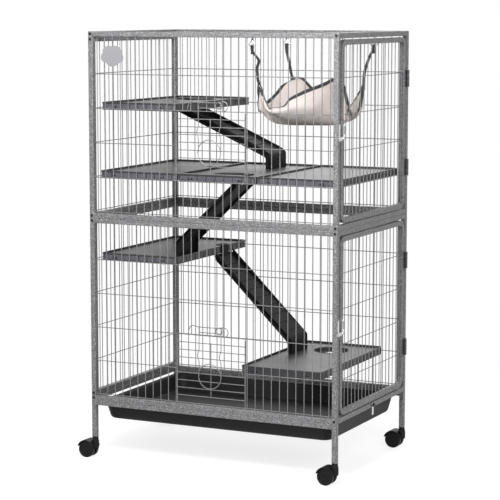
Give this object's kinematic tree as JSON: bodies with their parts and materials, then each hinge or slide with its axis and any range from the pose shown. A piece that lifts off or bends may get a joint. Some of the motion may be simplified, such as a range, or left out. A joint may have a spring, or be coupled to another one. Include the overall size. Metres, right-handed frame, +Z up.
{
  "type": "rodent cage",
  "caption": "Tall wire cage on casters for small rodents, with side doors, front hatches, shelves, ramps, a litter tray and a hammock.",
  "frame": {"origin": "on the floor under the middle of the overall box", "axes": "+X to the right along the front (the hatch side), +Y to the back, +Z up"},
  "size_m": [0.8531, 0.564, 1.277],
  "materials": {
    "frame_paint": "silver-grey hammertone paint",
    "wire_steel": "silver-grey paint on wire",
    "shelf_plastic": "glossy dark moulded plastic",
    "black_plastic": "satin black moulded plastic",
    "caster_plastic": "black moulded nylon",
    "screw_black": "black oxide",
    "hinge_paint": "dark grey paint",
    "bright_steel": "plain bright steel",
    "nickel": "bright nickel plate",
    "badge_plate": "bare pale plate",
    "hammock_cloth": "beige woven cloth",
    "webbing": "black nylon webbing"
  },
  "bodies": {
    "frame": {"front_panel_lower": "frame_paint", "front_panel_upper": "frame_paint", "back_panel_lower": "frame_paint", "back_panel_upper": "frame_paint", "left_panel_lower": "frame_paint", "left_panel_upper": "frame_paint", "roof_panel": "frame_paint", "base_side_rails": "frame_paint", "right_mid_rails": "frame_paint", "tray_runners": "frame_paint", "leg_front_left": "frame_paint", "leg_front_right": "frame_paint", "leg_back_left": "frame_paint", "leg_back_right": "frame_paint", "frame_screws": "screw_black", "frame_hinge_leaves": "hinge_paint", "hinge_pins": "bright_steel", "latch_keepers": "nickel", "shelf_high_left": "shelf_plastic", "shelf_mid_left": "shelf_plastic", "shelf_mid_centre": "shelf_plastic", "shelf_mid_right": "shelf_plastic", "shelf_low_left": "shelf_plastic", "shelf_low_right": "shelf_plastic", "shelf_hooks": "wire_steel", "ramp_high": "black_plastic", "ramp_middle": "black_plastic", "ramp_low": "black_plastic", "catch_screws": "screw_black", "badge_plate": "badge_plate", "hammock_cloth": "hammock_cloth", "hammock_straps": "webbing", "hammock_clips": "nickel"},
    "lower_door": {"lower_door": "frame_paint", "lower_door_hinge_leaves": "hinge_paint", "lower_door_latch_base": "nickel"},
    "lower_door_latch": {"lower_door_latch": "nickel"},
    "lower_hatch": {"lower_hatch": "wire_steel"},
    "lower_hatch_latch": {"lower_hatch_latch": "wire_steel"},
    "upper_door": {"upper_door": "frame_paint", "upper_door_hinge_leaves": "hinge_paint", "upper_door_latch_base": "nickel"},
    "upper_door_latch": {"upper_door_latch": "nickel"},
    "upper_hatch": {"upper_hatch": "wire_steel"},
    "upper_hatch_latch": {"upper_hatch_latch": "wire_steel"},
    "tray": {"litter_tray": "black_plastic"},
    "tray_catch_left": {"tray_catch_left": "bright_steel"},
    "tray_catch_right": {"tray_catch_right": "bright_steel"},
    "caster_front_left": {"caster_front_left_hood": "caster_plastic", "caster_front_left_stem": "bright_steel"},
    "caster_front_left_wheels": {"caster_front_left_wheels": "caster_plastic"},
    "caster_front_right": {"caster_front_right_hood": "caster_plastic", "caster_front_right_stem": "bright_steel"},
    "caster_front_right_wheels": {"caster_front_right_wheels": "caster_plastic"},
    "caster_back_left": {"caster_back_left_hood": "caster_plastic", "caster_back_left_stem": "bright_steel"},
    "caster_back_left_wheels": {"caster_back_left_wheels": "caster_plastic"},
    "caster_back_right": {"caster_back_right_hood": "caster_plastic", "caster_back_right_stem": "bright_steel"},
    "caster_back_right_wheels": {"caster_back_right_wheels": "caster_plastic"}
  },
  "joints": [
    {"name": "lower_door_hinge", "type": "hinge", "parent": "frame", "child": "lower_door", "pos_m": [0.42253, 0.25025, 0.452], "axis": [0, 0, 1], "range_deg": [0, 170]},
    {"name": "lower_door_latch_turn", "type": "hinge", "parent": "lower_door", "child": "lower_door_latch", "pos_m": [0.42003, -0.235, 0.4345], "axis": [1, 0, 0], "range_deg": [-90, 0]},
    {"name": "lower_hatch_drop", "type": "hinge", "parent": "frame", "child": "lower_hatch", "pos_m": [0.01753, -0.2625, 0.197], "axis": [1, 0, 0], "range_deg": [0, 110]},
    {"name": "lower_hatch_latch_slide", "type": "slide", "parent": "lower_hatch", "child": "lower_hatch_latch", "axis": [0, 0, 1], "range_m": [0, 0.018]},
    {"name": "upper_door_hinge", "type": "hinge", "parent": "frame", "child": "upper_door", "pos_m": [0.42253, 0.25025, 1.002], "axis": [0, 0, 1], "range_deg": [0, 170]},
    {"name": "upper_door_latch_turn", "type": "hinge", "parent": "upper_door", "child": "upper_door_latch", "pos_m": [0.42003, -0.235, 0.9845], "axis": [1, 0, 0], "range_deg": [-90, 0]},
    {"name": "upper_hatch_drop", "type": "hinge", "parent": "frame", "child": "upper_hatch", "pos_m": [0.01753, -0.2625, 0.8485], "axis": [1, 0, 0], "range_deg": [0, 150]},
    {"name": "upper_hatch_latch_slide", "type": "slide", "parent": "upper_hatch", "child": "upper_hatch_latch", "axis": [0, 0, 1], "range_m": [0, 0.018]},
    {"name": "tray_slide", "type": "slide", "parent": "frame", "child": "tray", "axis": [-1, 0, 0], "range_m": [0, 0.7]},
    {"name": "tray_catch_left_turn", "type": "hinge", "parent": "frame", "child": "tray_catch_left", "pos_m": [-0.38347, 0, 0.1845], "axis": [1, 0, 0], "range_deg": [-90, 0]},
    {"name": "tray_catch_right_turn", "type": "hinge", "parent": "frame", "child": "tray_catch_right", "pos_m": [0.41853, 0, 0.1845], "axis": [1, 0, 0], "range_deg": [0, 90]},
    {"name": "caster_front_left_swivel", "type": "hinge", "parent": "frame", "child": "caster_front_left", "pos_m": [-0.37497, -0.26, 0.062], "axis": [0, 0, 1], "continuous": true},
    {"name": "caster_front_left_roll", "type": "hinge", "parent": "caster_front_left", "child": "caster_front_left_wheels", "pos_m": [-0.39897, -0.26, 0.025], "axis": [0, 1, 0], "continuous": true},
    {"name": "caster_front_right_swivel", "type": "hinge", "parent": "frame", "child": "caster_front_right", "pos_m": [0.41003, -0.26, 0.062], "axis": [0, 0, 1], "continuous": true},
    {"name": "caster_front_right_roll", "type": "hinge", "parent": "caster_front_right", "child": "caster_front_right_wheels", "pos_m": [0.38603, -0.26, 0.025], "axis": [0, 1, 0], "continuous": true},
    {"name": "caster_back_left_swivel", "type": "hinge", "parent": "frame", "child": "caster_back_left", "pos_m": [-0.37497, 0.26, 0.062], "axis": [0, 0, 1], "continuous": true},
    {"name": "caster_back_left_roll", "type": "hinge", "parent": "caster_back_left", "child": "caster_back_left_wheels", "pos_m": [-0.39897, 0.26, 0.025], "axis": [0, 1, 0], "continuous": true},
    {"name": "caster_back_right_swivel", "type": "hinge", "parent": "frame", "child": "caster_back_right", "pos_m": [0.41003, 0.26, 0.062], "axis": [0, 0, 1], "continuous": true},
    {"name": "caster_back_right_roll", "type": "hinge", "parent": "caster_back_right", "child": "caster_back_right_wheels", "pos_m": [0.38603, 0.26, 0.025], "axis": [0, 1, 0], "continuous": true}
  ]
}
